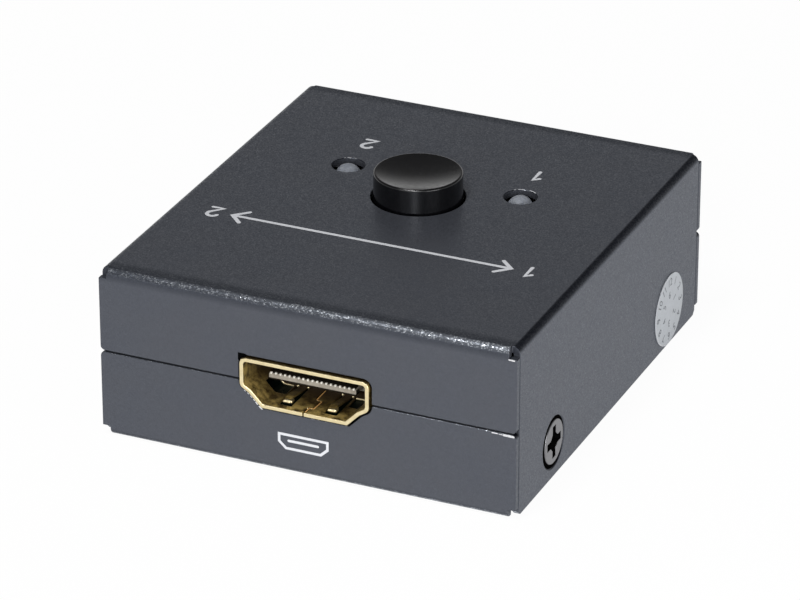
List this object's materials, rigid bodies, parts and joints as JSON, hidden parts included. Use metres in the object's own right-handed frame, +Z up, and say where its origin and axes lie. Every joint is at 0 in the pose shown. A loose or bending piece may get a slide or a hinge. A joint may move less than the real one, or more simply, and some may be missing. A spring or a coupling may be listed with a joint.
{
  "type": "two-way video switch box",
  "caption": "Small folded-steel video switch box with a single port at the front, a pair of ports at the rear, a push button and indicator lamps.",
  "frame": {"origin": "middle of the case's underside", "axes": "+Z up; -Y out of the face with the single port; +X towards the side that carries the round seal"},
  "size_m": [0.0481, 0.054, 0.0227],
  "materials": {
    "painted_steel": "satin dark blue-grey metallic powder paint",
    "screw_steel": "dark plated steel",
    "pillar_brass": "machined brass",
    "plated_steel": "bright zinc-plated steel",
    "board_laminate": "glass-epoxy laminate under a very dark green solder mask",
    "gold_shell": "thin gold plating on folded steel",
    "socket_plastic": "moulded light grey thermoplastic",
    "contact_gold": "gold-flashed copper alloy",
    "button_plastic": "glossy black moulding",
    "switch_plastic": "black moulding",
    "slider_plastic": "natural acetal",
    "tinned_metal": "tinned copper alloy",
    "spring_steel": "drawn spring steel",
    "led_resin": "milky diffusing resin",
    "chip_resin": "black moulding compound",
    "ceramic_tan": "fired ceramic",
    "resistor_black": "glazed film on ceramic",
    "seal_film": "silver-grey label film"
  },
  "bodies": {
    "case": {"board_screws": "plated_steel", "board_standoffs": "pillar_brass", "bottom_tray": "painted_steel", "chip_capacitors": "ceramic_tan", "chip_resistors": "resistor_black", "circuit_board": "board_laminate", "cover_screws": "screw_steel", "front_port_contacts": "contact_gold", "front_port_insulator": "socket_plastic", "front_port_shell": "gold_shell", "led_1": "led_resin", "led_2": "led_resin", "led_leads": "tinned_metal", "rear_port_1_contacts": "contact_gold", "rear_port_1_insulator": "socket_plastic", "rear_port_1_shell": "gold_shell", "rear_port_2_contacts": "contact_gold", "rear_port_2_insulator": "socket_plastic", "rear_port_2_shell": "gold_shell", "switch_base": "switch_plastic", "switch_housing": "switch_plastic", "switch_spring": "spring_steel", "switch_terminals": "tinned_metal", "switching_chip": "chip_resin", "top_cover": "painted_steel", "warranty_seal": "seal_film"},
    "button": {"push_button": "button_plastic", "switch_plunger": "slider_plastic"}
  },
  "joints": [
    {"name": "button_press", "type": "slide", "parent": "case", "child": "button", "axis": [0, 0, -1], "range_m": [0, 0.002], "stiffness_N_per_m": 500, "springref_m": -0.001, "deforming": ["switch_spring"]}
  ]
}
